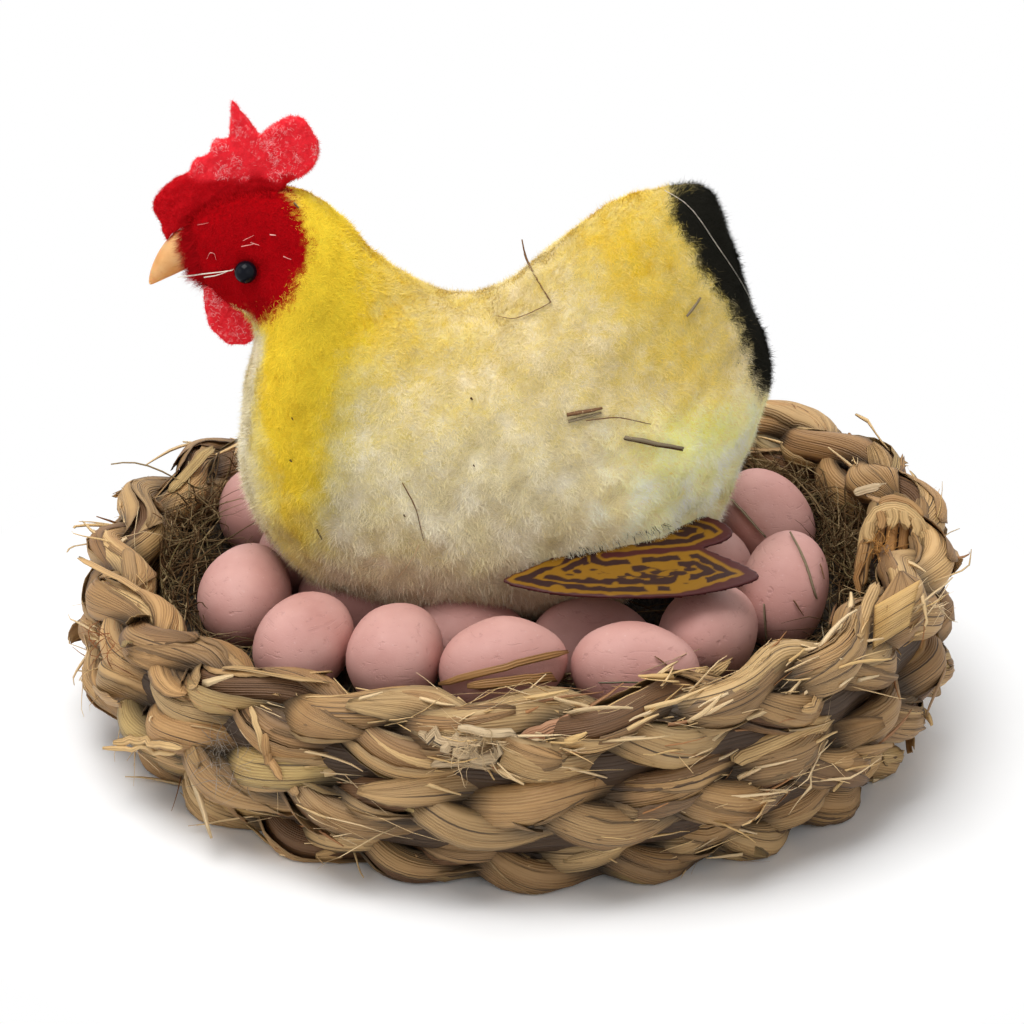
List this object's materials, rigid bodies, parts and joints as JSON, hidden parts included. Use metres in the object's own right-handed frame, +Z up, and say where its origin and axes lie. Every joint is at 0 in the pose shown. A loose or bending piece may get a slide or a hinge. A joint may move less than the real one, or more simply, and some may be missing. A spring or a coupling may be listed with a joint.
{
  "type": "hen figurine in nest",
  "caption": "Flocked hen figurine with a felt comb, sitting on pink eggs in a round nest of braided husk rope.",
  "frame": {"origin": "on the ground, below the middle of the box round the whole ornament", "axes": "+Z up, +X along the nest's long axis from the hen's beak to its tail, the hen's left side towards -Y"},
  "size_m": [0.1606, 0.1539, 0.1165],
  "materials": {
    "flock": "short dense flock, yellow turning cream, black along the tail",
    "felt": "red craft felt with pale fibres",
    "beak": "orange tan, slightly translucent, semi-gloss",
    "eye": "glossy black bead",
    "wing": "printed sheet, maroon edge, ochre field, dark dashes",
    "egg": "matte dusty pink over light foam, finely pitted",
    "husk": "dry plant husk, tan to brown, finely veined, satin",
    "hay": "fine dry hay, grey olive to brown"
  },
  "bodies": {
    "root": {"beak": "beak", "comb": "felt", "egg_01": "egg", "egg_02": "egg", "egg_03": "egg", "egg_04": "egg", "egg_05": "egg", "egg_06": "egg", "egg_07": "egg", "egg_08": "egg", "egg_09": "egg", "egg_10": "egg", "egg_11": "egg", "egg_12": "egg", "egg_13": "egg", "egg_14": "egg", "egg_15": "egg", "egg_16": "egg", "egg_17": "egg", "egg_18": "egg", "eye_left": "eye", "eye_right": "eye", "hay_bed": "hay", "hen_body": "flock", "nest_foot_row": "husk", "nest_mat": "husk", "nest_middle_row": "husk", "nest_rim_row": "husk", "rope_end": "husk", "wattle_left": "felt", "wattle_right": "felt", "wing_left": "wing", "wing_right": "wing"}
  },
  "joints": []
}
